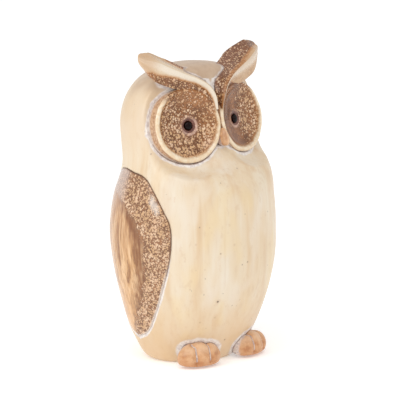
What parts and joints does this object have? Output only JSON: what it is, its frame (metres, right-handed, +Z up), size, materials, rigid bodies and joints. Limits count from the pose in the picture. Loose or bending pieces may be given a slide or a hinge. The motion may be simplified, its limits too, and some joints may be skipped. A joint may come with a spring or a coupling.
{
  "type": "owl figurine",
  "caption": "Upright hollow pottery owl with round eye dishes, raised ear tufts, inset wings, a small beak and toed feet.",
  "frame": {"origin": "on the table, under the middle of the owl's width and depth", "axes": "+Z up, -Y the way the owl looks, -X the owl's right side"},
  "size_m": [0.1154, 0.098, 0.2018],
  "materials": {
    "body_shell": "cream and tan satin glaze, brushed in upright streaks, with pinholes",
    "base_slab": "bare fired clay",
    "wing": "brown reactive glaze with cream crystal flecks, gloss",
    "eye_dish": "brown reactive glaze with cream crystal flecks and a cream rim, gloss",
    "ear_tuft": "cream front edge, brown flecked reactive glaze above and below, gloss",
    "eye_bead": "black gloss glaze",
    "beak": "orange-tan satin glaze",
    "foot": "orange-tan satin glaze with white wash in the toe grooves"
  },
  "bodies": {
    "root": {"body_shell": "body_shell", "base_slab": "base_slab", "wing_right": "wing", "wing_left": "wing", "eye_dish_right": "eye_dish", "eye_dish_left": "eye_dish", "ear_tuft_right": "ear_tuft", "ear_tuft_left": "ear_tuft", "eye_bead_right": "eye_bead", "eye_bead_left": "eye_bead", "beak": "beak", "foot_right": "foot", "foot_left": "foot"}
  },
  "joints": []
}
